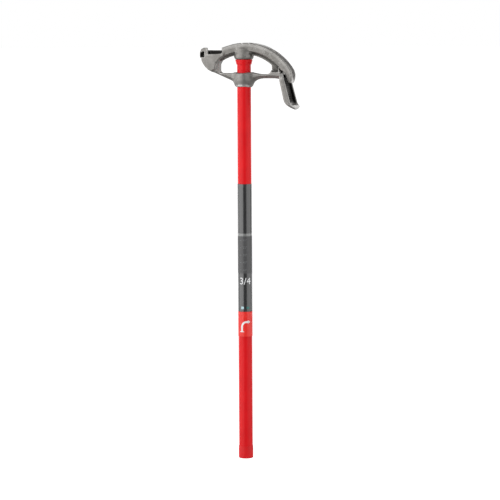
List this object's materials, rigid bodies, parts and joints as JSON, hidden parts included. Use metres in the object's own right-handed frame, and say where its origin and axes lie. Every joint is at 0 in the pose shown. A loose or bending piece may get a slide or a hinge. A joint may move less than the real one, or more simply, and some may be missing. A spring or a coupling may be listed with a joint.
{
  "type": "conduit bender",
  "caption": "Hand bender for 3/4 in thin-wall conduit: cast head with hook, grooved shoe and foot pedal on a red pipe handle with printed sleeves and an end cap.",
  "frame": {"origin": "centre of the end cap's flat bottom face, on the handle's axis", "axes": "+Z along the handle from its lower end to the head; +X from the handle towards the foot pedal, -X towards the hook; the conduit bends in the XZ plane"},
  "size_m": [0.2503, 0.066, 1.011],
  "materials": {
    "cast_aluminium": "sand-cast and tumbled, satin",
    "red_powder_coat": "semi-gloss powder coat",
    "red_vinyl": "soft dipped vinyl, satin",
    "black_print": "printed film, satin",
    "red_print": "printed film, glossy",
    "black_steel": "black oxide steel"
  },
  "bodies": {
    "handle": {"handle_tube": "red_powder_coat", "grip_wrap": "black_print", "size_band": "red_print"},
    "head": {"bender_head": "cast_aluminium"},
    "collar": {"lock_collar": "red_powder_coat"},
    "cap": {"end_cap": "red_vinyl"},
    "hub_screw": {"set_screw_hub": "black_steel"},
    "boss_screw": {"set_screw_boss": "black_steel"}
  },
  "joints": [
    {"name": "head_thread", "type": "hinge", "parent": "handle", "child": "head", "pos_m": [0, 0, 0.95], "axis": [0, 0, 1], "continuous": true},
    {"name": "collar_turn", "type": "hinge", "parent": "handle", "child": "collar", "pos_m": [0, 0, 0.963], "axis": [0, 0, 1], "continuous": true},
    {"name": "cap_pull", "type": "slide", "parent": "handle", "child": "cap", "axis": [0, 0, -1], "range_m": [0, 0.035]},
    {"name": "hub_screw_out", "type": "slide", "parent": "head", "child": "hub_screw", "axis": [0, 1, 0], "range_m": [0, 0.008]},
    {"name": "boss_screw_out", "type": "slide", "parent": "head", "child": "boss_screw", "axis": [0, 1, 0], "range_m": [0, 0.008]}
  ]
}
